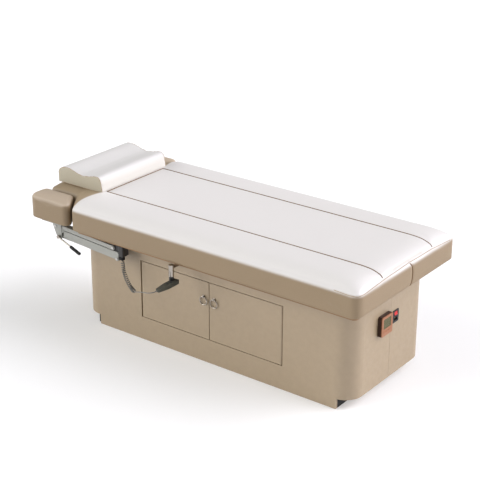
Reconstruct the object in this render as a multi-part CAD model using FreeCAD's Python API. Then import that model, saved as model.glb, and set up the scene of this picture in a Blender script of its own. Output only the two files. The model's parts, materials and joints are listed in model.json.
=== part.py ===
import FreeCAD, Part
import math
import os

# Facial treatment bed, in millimetres.
# Origin: centre of the cabinet on the floor. +X points to the foot end, -Y is the long side with
# the doors and the handset, +Z is up. The top (frame, deck, mattress, armrests, handset) lifts.

V = FreeCAD.Vector

# ---------------------------------------------------------------- driving dimensions
# cabinet
CABINET_HALF_LENGTH = 757.0
CABINET_HALF_WIDTH = 299.0
CABINET_CORNER = 86.0
CABINET_BOTTOM = 51.0
CABINET_TOP = 446.0
SHELL_WALL = 12.0
PANEL = 18.0
SEAM_GAP = 1.0
PLINTH_CENTRE_X = 11.0
PLINTH_HALF_LENGTH = 671.0
PLINTH_BOARD = 14.0
PLINTH_SETBACK = 20.0
FLOOR_GAP = 2.0
FOOT_RADIUS = 22.0
FOOT_HEIGHT = 10.0
FOOT_STEM_RADIUS = 5.0
FOOT_ROWS_X = (-600.0, 0.0, 620.0)
FOOT_ROWS_Y = (-240.0, 0.0, 240.0)

# doors and storage compartment
DOOR_CENTRE_X = 5.0
DOOR_WIDTH = 396.0
DOOR_BOTTOM = 120.0
DOOR_TOP = 400.0
DOOR_THICKNESS = 18.0
DOOR_GAP = 3.0
PIVOT_PIN_RADIUS = 2.5
PIVOT_PIN_DEPTH = 8.0
RUNNING_CLEARANCE = 0.05
PARTITION = 15.0
SHELF_Z = 255.0
SHELF_SETBACK = 40.0

# ring pulls
PULL_OFFSET = 29.0
PULL_RING_RADIUS = 19.5
PULL_WIRE_RADIUS = 2.3
PULL_AXIS_Z = 327.0
PULL_STANDOFF = 5.4
PULL_ROSETTE_RADIUS = 8.0
PULL_ROSETTE = 2.0
PULL_EYE = (2.5, 4.4, 4.6)
PULL_EYE_SLACK = 0.6

# thermostat and mains inlet, on the foot end
THERMOSTAT_Y = (-107.0, -19.0)
THERMOSTAT_Z = (288.0, 380.0)
THERMOSTAT_CASE_DEPTH = 17.0
THERMOSTAT_FACE_DEPTH = 4.0
THERMOSTAT_CORNER = 7.0
SCREEN_MARGIN_SIDE = 14.0
SCREEN_MARGIN_LOW = 34.0
SCREEN_MARGIN_HIGH = 12.0
KEY_MARGIN = 24.0
KEY_RISE = 19.0
KEY_HALF = (8.0, 4.0)
KEY_SLACK = 0.3
KEY_TRAVEL = 0.8
INLET_Y = 36.0
INLET_Z = 333.0
INLET_HALF_WIDTH = 24.0
INLET_HALF_HEIGHT = 29.0
INLET_FLANGE = 3.0
INLET_DEPTH = 32.0
INLET_CORNER = 5.0
INLET_NECK = 4.5
SOCKET_DROP = 12.0
SOCKET_HALF = (12.0, 8.0)
SOCKET_CHAMFER = 5.0
SOCKET_DEPTH = 16.0
PIN_SPACING = 7.0
PIN_RISE = 2.0
ROCKER_HALF = (12.0, 8.0)
ROCKER_RISE = 13.0
ROCKER_PROUD = 3.5
ROCKER_DEPTH = 9.0
ROCKER_SLACK = (0.4, 1.0)
ROCKER_TILT = 10.0

# lifting columns
COLUMN_X = (-545.0, 545.0)
COLUMN_SIZES = (130.0, 112.0, 94.0)
COLUMN_WALL = 6.0
COLUMN_PLATE = 160.0
COLUMN_CLEARANCE = 3.0
COLUMN_STEP = 8.0
COLUMN_CAP = 6.0
CONTROL_BOX_X = (625.0, 725.0)
CONTROL_BOX_Y = (-170.0, 30.0)
CONTROL_BOX_HEIGHT = 70.0

# lifting top
FRAME_BOTTOM = 452.0
FRAME_TUBE = 30.0
FRAME_TUBE_WALL = 2.0
FRAME_RAIL_Y = 300.0
FRAME_ENDS = (-754.0, 761.0)
FRAME_END_BARS = (-734.0, 741.0)
FRAME_BAR_OFFSET = 40.0
DECK_THICKNESS = 15.0
DECK_INSET = 26.0
DECK_TOP = FRAME_BOTTOM + FRAME_TUBE + DECK_THICKNESS
DECK_BOTTOM = DECK_TOP - DECK_THICKNESS
# corner radii of a plan outline: foot corner, shoulder, notch, head corner
DECK_RADII = (20.0, 8.0, 8.0, 12.0)

# mattress
MATTRESS_FOOT = 836.0
MATTRESS_HALF_WIDTH = 400.0
MATTRESS_TOP = 640.0
MATTRESS_ROLL = 10.0
MATTRESS_RADII = (40.0, 16.0, 12.0, 26.0)
SHOULDER_X = -721.0
NOTCH_X = -817.0
HEAD_END_X = -991.0
HEAD_HALF_WIDTH = 268.0
HEATING_MAT = 3.0
HEATING_MAT_X = (-560.0, 760.0)
HEATING_MAT_HALF_WIDTH = 230.0

# pillow
PILLOW_HALF_WIDTH = 230.0
PILLOW_CREST = [(-963.0, 680.0), (-957.0, 704.0), (-926.0, 722.0), (-885.0, 722.0), (-826.0, 706.0),
                (-768.0, 708.0), (-722.0, 717.0), (-702.0, 715.0), (-692.0, 702.0), (-686.0, 676.0)]
PILLOW_BASE_X = (-961.0, -680.0)
PILLOW_BOTTOM = MATTRESS_TOP + 0.5

# armrests (the near one is modelled, the far one is its mirror image)
PAD_GAP = 9.0
PAD_SIDE_Y = -405.0
PAD_INNER_Y = -283.0
PAD_HEAD_X = -997.0
PAD_BOTTOM = 512.0
PAD_TOP = 620.0
PAD_ROLL = 16.0
# corner radii of the pad: head outer, shoulder outer, shoulder inner, head inner
PAD_RADII = (46.0, 24.0, 16.0, 30.0)
ARM_Y = -348.0
ARM_FOOT_PIVOT_UPPER = (-505.0, 457.0)
ARM_FOOT_PIVOT_LOWER = (-481.0, 409.0)
ARM_LINK = (-358.0, 23.0)
ARM_PIN_RADIUS = 4.0
ARM_CHEEK_HALF = 15.0
ARM_TONGUE_HALF = 9.0
ARM_LUG_RADIUS = 10.0
ARM_TONGUE_RADIUS = 9.0
ARM_END_RADIUS = 8.5
# how far each link reaches below and above the line through its pivots
UPPER_LINK_DEPTH = (9.5, 9.5)
LOWER_LINK_DEPTH = (4.0, 33.0)
LINK_SHELL_START = 32.0
LINK_TONGUE = 60.0
LINK_MOUTH = 44.0
LINK_MOUTH_DEPTH = (40.0, 60.0)
PIN_HEAD_RADIUS = 6.5
PIN_HEAD = 3.2
BRACKET_HALF = 19.0
BRACKET_WALL = 3.0
BRACKET_PLATE = 8.0
BRACKET_PLATE_X = (-930.0, -812.0)
BRACKET_PLATE_HALF_WIDTH = 45.0
BRACKET_OVERLAP = 3.0
MOUNT_X = (-461.0, -433.0)
MOUNT_Y = (-376.0, -332.0)
MOUNT_BOTTOM = 432.0
LEVER_Y = (-380.0, -372.0)
LEVER_END = (137.0, -54.0)
LEVER_HUB_RADIUS = 8.0
LEVER_HUB_GAP = 3.5
LEVER_ROD_RADIUS = 4.0
LEVER_ROD_SHARE = 0.60
LEVER_GRIP_RADIUS = 7.6
LEVER_GRIP_ROUND = 3.5
LEVER_GRIP_LAP = 6.0

# handset, its bracket and its curly cord
HANDSET_X = -105.0
HANDSET_HALF_WIDTH = 16.0
HANDSET_TIP_HALF_WIDTH = 9.5
HANDSET_TIP_HALF_HEIGHT = 6.0
HANDSET_TIP_LENGTH = 58.0
HANDSET_Z = (403.5, 421.5)
HANDSET_Y = (-522.0, -385.0)
HANDSET_ROLL = 4.0
BUTTON_RADIUS = 6.0
BUTTON_SLACK = 0.3
BUTTON_WELL = 4.0
BUTTON_SETBACKS = (("up", 92.0), ("down", 70.0))
HOOK_X = -117.0
HOOK_Y = -410.0
HOOK_RADIUS = 12.0
HOOK_Z = (440.0, 494.0)
CLIP_RADIUS = 11.0
STRAP_HALF_WIDTH = 11.0
STRAP = 4.0
STRAP_INNER_Y = -330.0
BUTTON_TRAVEL = 1.2
RELIEF_X = -446.0
RELIEF_Y = -364.0
RELIEF_Z = (414.0, MOUNT_BOTTOM)
RELIEF_RADIUS = 9.0
RELIEF_RING_RADIUS = 12.0
RELIEF_RING = 4.5
RELIEF_RING_RISES = (1.5, 9.5)
COIL_DIAMETER = 19.0
CORD_DIAMETER = 4.6
COIL_ROUTE = [(-446.0, -364.0, 414.0), (-446.0, -364.0, 381.0), (-427.5, -371.5, 345.5),
              (-397.0, -383.0, 317.0), (-359.0, -394.5, 294.0), (-334.0, -412.0, 305.0)]
TAIL_ROUTE = [(-334.0, -412.0, 305.0), (-299.0, -436.5, 320.4), (-262.0, -463.5, 341.0),
              (-214.0, -500.0, 368.0), (-163.0, -532.0, 391.0), (-137.0, -546.0, 402.5),
              (-121.0, -549.5, 408.5), (-110.0, -544.5, 411.5), (-105.0, -534.0, 412.5),
              (-105.0, -522.0, 412.5)]
PAST = 1.0


# ---------------------------------------------------------------- helpers
def box(x0, x1, y0, y1, z0, z1):
    return Part.makeBox(x1 - x0, y1 - y0, z1 - z0, V(x0, y0, z0))


def cylinder(start, direction, radius, length):
    return Part.makeCylinder(radius, length, V(*start), V(*direction))


def outline(points, place):
    """Closed wire through (a, b, corner radius) points; place maps (a, b) to a vector."""
    flat = [V(a, b, 0) for a, b, _ in points]
    edges = []
    ends = []
    for i, (_, _, radius) in enumerate(points):
        here = flat[i]
        back = (flat[i - 1] - here).normalize()
        ahead = (flat[(i + 1) % len(flat)] - here).normalize()
        half_turn = back.getAngle(ahead) / 2
        reach = radius / math.tan(half_turn)
        start = here + back * reach
        end = here + ahead * reach
        ends.append((start, end))
        if radius > 0:
            bisector = (back + ahead).normalize()
            middle = here + bisector * (radius / math.sin(half_turn) - radius)
            edges.append(Part.Arc(place(start), place(middle), place(end)).toShape())
    for i in range(len(ends)):
        start = place(ends[i - 1][1])
        end = place(ends[i][0])
        if start.distanceToPoint(end) > 1e-6:
            edges.append(Part.LineSegment(start, end).toShape())
    return Part.Wire(Part.__sortEdges__(edges))


def slab(points, z0, z1):
    """Prism over an XY outline."""
    wire = outline(points, lambda p: V(p.x, p.y, z0))
    return Part.Face(wire).extrude(V(0, 0, z1 - z0))


def side_plate(points, y0, y1):
    """Prism over an XZ outline, from y0 to y1."""
    wire = outline(points, lambda p: V(p.x, y0, p.y))
    return Part.Face(wire).extrude(V(0, y1 - y0, 0))


def face_plate(points, x0, x1):
    """Prism over a YZ outline, from x0 to x1."""
    wire = outline(points, lambda p: V(x0, p.x, p.y))
    return Part.Face(wire).extrude(V(x1 - x0, 0, 0))


def rectangle(a0, a1, b0, b1, radius):
    return [(a0, b0, radius), (a1, b0, radius), (a1, b1, radius), (a0, b1, radius)]


def link_outline(start, end, below, above, end_radius):
    """Outline of a bar with round lugs about two pivots, as points for side_plate."""
    a = V(start[0], start[1], 0)
    b = V(end[0], end[1], 0)
    along = (b - a).normalize()
    up = V(-along.y, along.x, 0)
    if up.y < 0:
        up = up * -1
    corners = [a - along * end_radius - up * below, b + along * end_radius - up * below,
               b + along * end_radius + up * above, a - along * end_radius + up * above]
    radius = min(end_radius, (below + above) / 2) * 0.95
    return [(c.x, c.y, radius) for c in corners]


def roll_edges(shape, z, radius):
    """Round every edge that lies in the plane at height z."""
    edges = [e for e in shape.Edges if all(abs(v.Z - z) < 1e-6 for v in e.Vertexes)]
    return shape.makeFillet(radius, edges)


def mirrored(shape):
    return shape.mirror(V(0, 0, 0), V(0, 1, 0))


def export(name, *solids):
    shape = solids[0] if len(solids) == 1 else Part.makeCompound(list(solids))
    for solid in shape.Solids:
        if not solid.isValid():
            print("not valid:", name)
    shape.exportStep("parts/" + name + ".step")


def export_pair(name, shape):
    export(name + "_left", shape)
    export(name + "_right", mirrored(shape))


# ---------------------------------------------------------------- cabinet
def levelling_feet():
    feet = []
    for x in FOOT_ROWS_X:
        for y in FOOT_ROWS_Y:
            pad = cylinder((x, y, 0), (0, 0, 1), FOOT_RADIUS, FOOT_HEIGHT)
            stem = cylinder((x, y, FOOT_HEIGHT), (0, 0, 1), FOOT_STEM_RADIUS, CABINET_BOTTOM - FOOT_HEIGHT)
            feet.append(pad.fuse(stem))
    export("levelling_feet", *feet)


def plinth():
    x0 = PLINTH_CENTRE_X - PLINTH_HALF_LENGTH
    x1 = PLINTH_CENTRE_X + PLINTH_HALF_LENGTH
    inner_y = CABINET_HALF_WIDTH - PLINTH_BOARD
    boards = []
    rails = []
    for side in (-1, 1):
        y0, y1 = sorted((side * CABINET_HALF_WIDTH, side * inner_y))
        boards.append(box(x0, x1, y0, y1, FLOOR_GAP, CABINET_BOTTOM))
        y0, y1 = sorted((side * inner_y, side * (inner_y - PANEL)))
        rails.append(box(x0 - PLINTH_SETBACK, x1, y0, y1, FLOOR_GAP, CABINET_BOTTOM))
    clear_y = inner_y - PANEL
    for x in (x0 - PLINTH_SETBACK, x1 - PANEL):
        rails.append(box(x, x + PANEL, -clear_y, clear_y, FLOOR_GAP, CABINET_BOTTOM))
    export("plinth_boards", *boards)
    export("plinth_frame", *rails)


def cabinet_ring(wall_out, wall_in, z0, z1):
    """Rounded-rectangle wall of the cabinet between two insets from its outer face."""
    rings = []
    for inset in (wall_out, wall_in):
        x = CABINET_HALF_LENGTH - inset
        y = CABINET_HALF_WIDTH - inset
        rings.append(slab(rectangle(-x, x, -y, y, CABINET_CORNER - inset), z0, z1))
    return rings[0].cut(rings[1])


def door_edges():
    """Outer X edges of the door opening."""
    half = DOOR_WIDTH + 1.5 * DOOR_GAP
    return DOOR_CENTRE_X - half, DOOR_CENTRE_X + half


def pivot_x():
    opening = door_edges()
    reach = DOOR_GAP + DOOR_THICKNESS / 2
    return opening[0] + reach, opening[1] - reach


PIVOT_Y = -CABINET_HALF_WIDTH + DOOR_THICKNESS / 2


def door_pin_spans():
    """Heights of the lower and upper pivot pins, half in the door and half in the shell."""
    lower = DOOR_BOTTOM - DOOR_GAP - PIVOT_PIN_DEPTH
    upper = DOOR_TOP - PIVOT_PIN_DEPTH
    length = 2 * PIVOT_PIN_DEPTH + DOOR_GAP
    return (lower, length), (upper, length)


def cabinet_shells():
    """Two bent half shells that meet in a vertical seam at the middle of each end."""
    ring = cabinet_ring(0, SHELL_WALL, CABINET_BOTTOM, CABINET_TOP)
    far = CABINET_HALF_LENGTH + 1
    wide = CABINET_HALF_WIDTH + 1
    front = ring.common(box(-far, far, -wide, -SEAM_GAP / 2, CABINET_BOTTOM, CABINET_TOP))
    back = ring.common(box(-far, far, SEAM_GAP / 2, wide, CABINET_BOTTOM, CABINET_TOP))
    x0, x1 = door_edges()
    front = front.cut(box(x0, x1, -wide, -CABINET_HALF_WIDTH + SHELL_WALL + 1,
                          DOOR_BOTTOM - DOOR_GAP, DOOR_TOP + DOOR_GAP))
    for x in pivot_x():
        for z, length in door_pin_spans():
            front = front.cut(cylinder((x, PIVOT_Y, z), (0, 0, 1), PIVOT_PIN_RADIUS, length))
    width = INLET_HALF_WIDTH - INLET_NECK + 0.5
    height = INLET_HALF_HEIGHT - INLET_NECK + 0.5
    hole = box(CABINET_HALF_LENGTH - SHELL_WALL - 1, far, INLET_Y - width, INLET_Y + width,
               INLET_Z - height, INLET_Z + height)
    export("cabinet_shell_front", front)
    export("cabinet_shell_back", back.cut(hole))


def cabinet_panels():
    x = CABINET_HALF_LENGTH - SHELL_WALL
    y = CABINET_HALF_WIDTH - SHELL_WALL
    corners = rectangle(-x, x, -y, y, CABINET_CORNER - SHELL_WALL)
    floor = slab(corners, CABINET_BOTTOM, CABINET_BOTTOM + PANEL)
    top = slab(corners, CABINET_TOP - PANEL, CABINET_TOP)
    half = COLUMN_SIZES[0] / 2 + COLUMN_CLEARANCE
    for column in COLUMN_X:
        top = top.cut(box(column - half, column + half, -half, half,
                          CABINET_TOP - PANEL - PAST, CABINET_TOP + PAST))
    export("cabinet_floor", floor)
    export("cabinet_top", top)
    x0, x1 = door_edges()
    z0 = CABINET_BOTTOM + PANEL
    z1 = CABINET_TOP - PANEL
    walls = []
    for edge in (x0 - PARTITION - DOOR_GAP, x1 + DOOR_GAP):
        walls.append(box(edge, edge + PARTITION, -y, y, z0, z1))
    export("storage_partitions", *walls)
    shelf = box(x0 - DOOR_GAP, x1 + DOOR_GAP, -y + SHELF_SETBACK, y, SHELF_Z, SHELF_Z + PARTITION)
    export("storage_shelf", shelf)


def doors():
    pins = []
    z0 = DOOR_BOTTOM
    z1 = DOOR_TOP
    y0 = -CABINET_HALF_WIDTH
    y1 = y0 + DOOR_THICKNESS
    round_edge = DOOR_THICKNESS / 2 - 0.01
    opening = door_edges()
    for name, side, x in (("left", -1, pivot_x()[0]), ("right", 1, pivot_x()[1])):
        outer = opening[0] + DOOR_GAP if side < 0 else opening[1] - DOOR_GAP
        inner = outer - side * DOOR_WIDTH
        panel = slab([(outer, y0, round_edge), (inner, y0, 1.5), (inner, y1, 1.5), (outer, y1, round_edge)],
                     z0, z1)
        for z, length in door_pin_spans():
            pins.append(cylinder((x, PIVOT_Y, z), (0, 0, 1), PIVOT_PIN_RADIUS, length))
            bore = cylinder((x, PIVOT_Y, z - 1), (0, 0, 1), PIVOT_PIN_RADIUS + RUNNING_CLEARANCE, length + 2)
            panel = panel.cut(bore)
        export("door_" + name, panel)
    export("door_pivot_pins", *pins)


def ring_pulls():
    """Ring that hangs through an eye on a small rosette, one on each door."""
    face = -CABINET_HALF_WIDTH
    y = face - PULL_STANDOFF
    half, reach, height = PULL_EYE
    for name, side in (("left", -1), ("right", 1)):
        x = DOOR_CENTRE_X + side * PULL_OFFSET
        rosette = cylinder((x, face, PULL_AXIS_Z), (0, -1, 0), PULL_ROSETTE_RADIUS, PULL_ROSETTE)
        eye = box(x - half, x + half, y - reach, face - PULL_ROSETTE / 2,
                  PULL_AXIS_Z - height, PULL_AXIS_Z + height)
        hole = cylinder((x - half - PAST, y, PULL_AXIS_Z), (1, 0, 0), PULL_WIRE_RADIUS + PULL_EYE_SLACK,
                        2 * (half + PAST))
        export("pull_boss_" + name, rosette.fuse(eye).cut(hole))
        ring = Part.makeTorus(PULL_RING_RADIUS, PULL_WIRE_RADIUS, V(x, y, PULL_AXIS_Z - PULL_RING_RADIUS),
                              V(0, 1, 0))
        export("pull_ring_" + name, ring)


# ---------------------------------------------------------------- foot end controls
def key_outline(y, slack):
    """Outline of one thermostat key, grown all round by slack."""
    z = THERMOSTAT_Z[0] + KEY_RISE
    half_y = KEY_HALF[0] + slack
    half_z = KEY_HALF[1] + slack
    return rectangle(y - half_y, y + half_y, z - half_z, z + half_z, 3.0 + slack)


def thermostat():
    face = CABINET_HALF_LENGTH
    front = face + THERMOSTAT_CASE_DEPTH
    proud = front + THERMOSTAT_FACE_DEPTH
    y0, y1 = THERMOSTAT_Y
    z0, z1 = THERMOSTAT_Z
    case = face_plate(rectangle(y0, y1, z0, z1, THERMOSTAT_CORNER), face, front)
    cover = face_plate(rectangle(y0 + 1, y1 - 1, z0 + 1, z1 - 1, THERMOSTAT_CORNER - 1), front, proud)
    screen = rectangle(y0 + SCREEN_MARGIN_SIDE, y1 - SCREEN_MARGIN_SIDE, z0 + SCREEN_MARGIN_LOW,
                       z1 - SCREEN_MARGIN_HIGH, 2.0)
    cover = cover.cut(face_plate(screen, front, proud))
    display = face_plate(screen, front, proud - 1)
    for number, y in enumerate((y0 + KEY_MARGIN, (y0 + y1) / 2, y1 - KEY_MARGIN), 1):
        cover = cover.cut(face_plate(key_outline(y, KEY_SLACK), front, proud))
        key = face_plate(key_outline(y, 0.0), front + KEY_TRAVEL + KEY_SLACK, proud + 1)
        export("thermostat_button_%d" % number, key)
    export("thermostat_case", case)
    export("thermostat_frame", cover)
    export("thermostat_display", display)


ROCKER_X = CABINET_HALF_LENGTH + 1.0
ROCKER_Z = INLET_Z + ROCKER_RISE


def mains_inlet():
    """Appliance inlet with a rocker switch above it."""
    face = CABINET_HALF_LENGTH
    front = face + INLET_FLANGE
    back = face - SOCKET_DEPTH
    y0, y1 = INLET_Y - INLET_HALF_WIDTH, INLET_Y + INLET_HALF_WIDTH
    z0, z1 = INLET_Z - INLET_HALF_HEIGHT, INLET_Z + INLET_HALF_HEIGHT
    flange = face_plate(rectangle(y0, y1, z0, z1, INLET_CORNER), face, front)
    barrel = box(face - INLET_DEPTH, face, y0 + INLET_NECK, y1 - INLET_NECK, z0 + INLET_NECK, z1 - INLET_NECK)
    socket_z = INLET_Z - SOCKET_DROP
    half_y, half_z = ROCKER_HALF
    slack_y, slack_z = ROCKER_SLACK
    well = box(back, front, INLET_Y - half_y - slack_y, INLET_Y + half_y + slack_y,
               ROCKER_Z - half_z - slack_z, ROCKER_Z + half_z + slack_z)
    export("inlet_body", flange.fuse(barrel).cut(face_plate(socket_outline(socket_z), back, front)).cut(well))
    pins = []
    for step in (-1, 0, 1):
        y = INLET_Y + step * PIN_SPACING
        z = socket_z + PIN_RISE * (1 - 2 * abs(step))
        pins.append(box(back, face - 1, y - 1, y + 1, z - 2, z + 2))
    export("inlet_pins", *pins)


def socket_outline(z):
    """Socket for an appliance plug: a rectangle with its two upper corners cut off."""
    half_y, half_z = SOCKET_HALF
    inner = half_y - SOCKET_CHAMFER
    shoulder = z + half_z - SOCKET_CHAMFER
    return [(INLET_Y - half_y, z - half_z, 1.0), (INLET_Y + half_y, z - half_z, 1.0),
            (INLET_Y + half_y, shoulder, 1.0), (INLET_Y + inner, z + half_z, 1.0),
            (INLET_Y - inner, z + half_z, 1.0), (INLET_Y - half_y, shoulder, 1.0)]


def rocker_switch():
    half_y, half_z = ROCKER_HALF
    root = ROCKER_X - ROCKER_DEPTH
    tip = ROCKER_X + ROCKER_PROUD
    profile = [(root, ROCKER_Z - half_z + 2, 0.5), (tip, ROCKER_Z - half_z, 0.5), (tip - 1.5, ROCKER_Z, 0.0),
               (tip, ROCKER_Z + half_z, 0.5), (root, ROCKER_Z + half_z - 2, 0.5)]
    rocker = side_plate(profile, INLET_Y - half_y, INLET_Y + half_y)
    rocker.rotate(V(ROCKER_X, INLET_Y, ROCKER_Z), V(0, 1, 0), -ROCKER_TILT)
    export("inlet_rocker", rocker)


# ---------------------------------------------------------------- lifting columns
def square_tube(x, size, z0, z1):
    half = size / 2
    inner = half - COLUMN_WALL
    return box(x - half, x + half, -half, half, z0, z1).cut(
        box(x - inner, x + inner, -inner, inner, z0 - 1, z1 + 1))


def lifting_columns():
    base = CABINET_BOTTOM + PANEL
    stages = ((base, CABINET_TOP - COLUMN_CAP), (base + COLUMN_STEP, CABINET_TOP - COLUMN_CAP / 2),
              (base + 2 * COLUMN_STEP, FRAME_BOTTOM - COLUMN_CAP))
    for name, size, (z0, z1) in zip(("outer", "middle", "inner"), COLUMN_SIZES, stages):
        tubes = []
        for x in COLUMN_X:
            tube = square_tube(x, size, z0, z1)
            if name == "inner":
                tube = tube.fuse(column_head(x, size, z1))
            tubes.append(tube)
        export("columns_" + name, *tubes)


def column_head(x, size, z):
    """Plug in the top of the inner tube, with the plate that carries the frame."""
    half = COLUMN_PLATE / 2
    plug = box(x - size / 2, x + size / 2, -size / 2, size / 2, z - COLUMN_CAP, z + 1)
    return plug.fuse(box(x - half, x + half, -half, half, z + 0.6, FRAME_BOTTOM))


def control_box():
    z0 = CABINET_BOTTOM + PANEL
    export("control_box", slab(rectangle(*CONTROL_BOX_X, *CONTROL_BOX_Y, 8.0), z0, z0 + CONTROL_BOX_HEIGHT))


# ---------------------------------------------------------------- lifting top
def tube_x(x0, x1, y, z):
    half = FRAME_TUBE / 2
    inner = half - FRAME_TUBE_WALL
    return box(x0, x1, y - half, y + half, z - half, z + half).cut(
        box(x0 - 1, x1 + 1, y - inner, y + inner, z - inner, z + inner))


def tube_y(x, y0, y1, z):
    half = FRAME_TUBE / 2
    inner = half - FRAME_TUBE_WALL
    return box(x - half, x + half, y0, y1, z - half, z + half).cut(
        box(x - inner, x + inner, y0 - 1, y1 + 1, z - inner, z + inner))


def top_frame():
    z = FRAME_BOTTOM + FRAME_TUBE / 2
    rails = [tube_x(FRAME_ENDS[0], FRAME_ENDS[1], side * FRAME_RAIL_Y, z) for side in (-1, 1)]
    reach = FRAME_RAIL_Y - FRAME_TUBE / 2
    places = [0.0, *FRAME_END_BARS]
    for column in COLUMN_X:
        places += [column - FRAME_BAR_OFFSET, column + FRAME_BAR_OFFSET]
    bars = []
    for x in places:
        bars.append(tube_y(x, -reach, reach, z))
    export("frame_rails", *rails)
    export("frame_crossbars", *bars)


def bed_outline(inset, radii):
    """Plan of the top: full width to the shoulders, then a narrower head section."""
    corner, shoulder, notch, head = radii
    x_foot = MATTRESS_FOOT - inset
    y_side = MATTRESS_HALF_WIDTH - inset
    y_head = HEAD_HALF_WIDTH - inset
    x_shoulder = SHOULDER_X + inset * 0.45
    x_notch = NOTCH_X + inset * 0.75
    x_head = HEAD_END_X + inset
    near = [(x_foot, -y_side, corner), (x_shoulder, -y_side, shoulder), (x_notch, -y_head, notch),
            (x_head, -y_head, head)]
    far = [(x, -y, radius) for x, y, radius in reversed(near)]
    return near + far


def deck_board():
    export("deck_board", slab(bed_outline(DECK_INSET, DECK_RADII), DECK_BOTTOM, DECK_TOP))


def mattress():
    body = slab(bed_outline(0, MATTRESS_RADII), DECK_TOP, MATTRESS_TOP)
    body = roll_edges(body, MATTRESS_TOP, MATTRESS_ROLL)
    x0, x1 = HEATING_MAT_X
    y = HEATING_MAT_HALF_WIDTH
    pocket = box(x0, x1, -y, y, DECK_TOP, DECK_TOP + HEATING_MAT)
    export("mattress", body.cut(pocket))
    export("heating_mat", pocket)


def pillow():
    """Contour pillow: a high lobe at the head side, a dip and a lower lobe."""
    z0 = PILLOW_BOTTOM
    side = -PILLOW_HALF_WIDTH
    curve = Part.BSplineCurve()
    curve.interpolate([V(x, side, z) for x, z in PILLOW_CREST])
    start = V(PILLOW_BASE_X[0], side, z0)
    end = V(PILLOW_BASE_X[1], side, z0)
    first = V(PILLOW_CREST[0][0], side, PILLOW_CREST[0][1])
    last = V(PILLOW_CREST[-1][0], side, PILLOW_CREST[-1][1])
    edges = [Part.LineSegment(start, first).toShape(), curve.toShape(),
             Part.LineSegment(last, end).toShape(), Part.LineSegment(end, start).toShape()]
    face = Part.Face(Part.Wire(edges))
    export("pillow", face.extrude(V(0, 2 * PILLOW_HALF_WIDTH, 0)))


# ---------------------------------------------------------------- armrests
def arm_pivots():
    """Foot-end and head-end pivots of the upper and the lower link, as (x, z)."""
    upper = ARM_FOOT_PIVOT_UPPER
    lower = ARM_FOOT_PIVOT_LOWER
    upper_head = (upper[0] + ARM_LINK[0], upper[1] + ARM_LINK[1])
    lower_head = (lower[0] + ARM_LINK[0], lower[1] + ARM_LINK[1])
    return upper, lower, upper_head, lower_head


def armrest_pad():
    across = PAD_SIDE_Y - PAD_INNER_Y
    slope = (SHOULDER_X - NOTCH_X) / (HEAD_HALF_WIDTH - MATTRESS_HALF_WIDTH)
    length = math.hypot(1, slope)
    x_inner = NOTCH_X + slope * (PAD_INNER_Y + HEAD_HALF_WIDTH) - PAD_GAP * length
    x_outer = x_inner + slope * across
    corners = ((PAD_HEAD_X, PAD_SIDE_Y), (x_outer, PAD_SIDE_Y), (x_inner, PAD_INNER_Y),
               (PAD_HEAD_X, PAD_INNER_Y))
    plan = [(x, y, radius) for (x, y), radius in zip(corners, PAD_RADII)]
    export_pair("armrest_pad", roll_edges(slab(plan, PAD_BOTTOM, PAD_TOP), PAD_TOP, PAD_ROLL))


def pierce(shape, pivots, radius):
    """Bore shape along Y at each (x, z) pivot."""
    for x, z in pivots:
        shape = shape.cut(cylinder((x, ARM_Y - 2 * BRACKET_HALF, z), (0, 1, 0), radius, 4 * BRACKET_HALF))
    return shape


def armrest_links():
    upper, lower, upper_head, lower_head = arm_pivots()
    bore = ARM_PIN_RADIUS + RUNNING_CLEARANCE
    for name, foot, head, depth in (("armrest_upper_link", upper, upper_head, UPPER_LINK_DEPTH),
                                    ("armrest_lower_link", lower, lower_head, LOWER_LINK_DEPTH)):
        export_pair(name, pierce(armrest_link(foot, head, depth), (foot, head), bore))


def armrest_link(foot, head, depth):
    """Channel with a tongue at the head pivot and an open mouth at the foot pivot."""
    run = V(foot[0] - head[0], foot[1] - head[1], 0).normalize()

    def on_run(start, distance):
        return (start[0] + run.x * distance, start[1] + run.y * distance)

    cheek = ARM_Y - ARM_CHEEK_HALF, ARM_Y + ARM_CHEEK_HALF
    core = ARM_Y - ARM_TONGUE_HALF, ARM_Y + ARM_TONGUE_HALF
    shell = side_plate(link_outline(on_run(head, LINK_SHELL_START), foot, *depth, ARM_END_RADIUS), *cheek)
    lug = cylinder((foot[0], cheek[0], foot[1]), (0, 1, 0), ARM_LUG_RADIUS, 2 * ARM_CHEEK_HALF)
    tongue = side_plate(link_outline(head, on_run(head, LINK_TONGUE), ARM_TONGUE_RADIUS, ARM_TONGUE_RADIUS,
                                     ARM_TONGUE_RADIUS + 0.4), *core)
    mouth = side_plate(link_outline(on_run(foot, -LINK_MOUTH), on_run(foot, LINK_MOUTH), *LINK_MOUTH_DEPTH,
                                    ARM_TONGUE_RADIUS), core[0] - 0.5, core[1] + 0.5)
    return shell.fuse(lug).cut(mouth).fuse(tongue)


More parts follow.
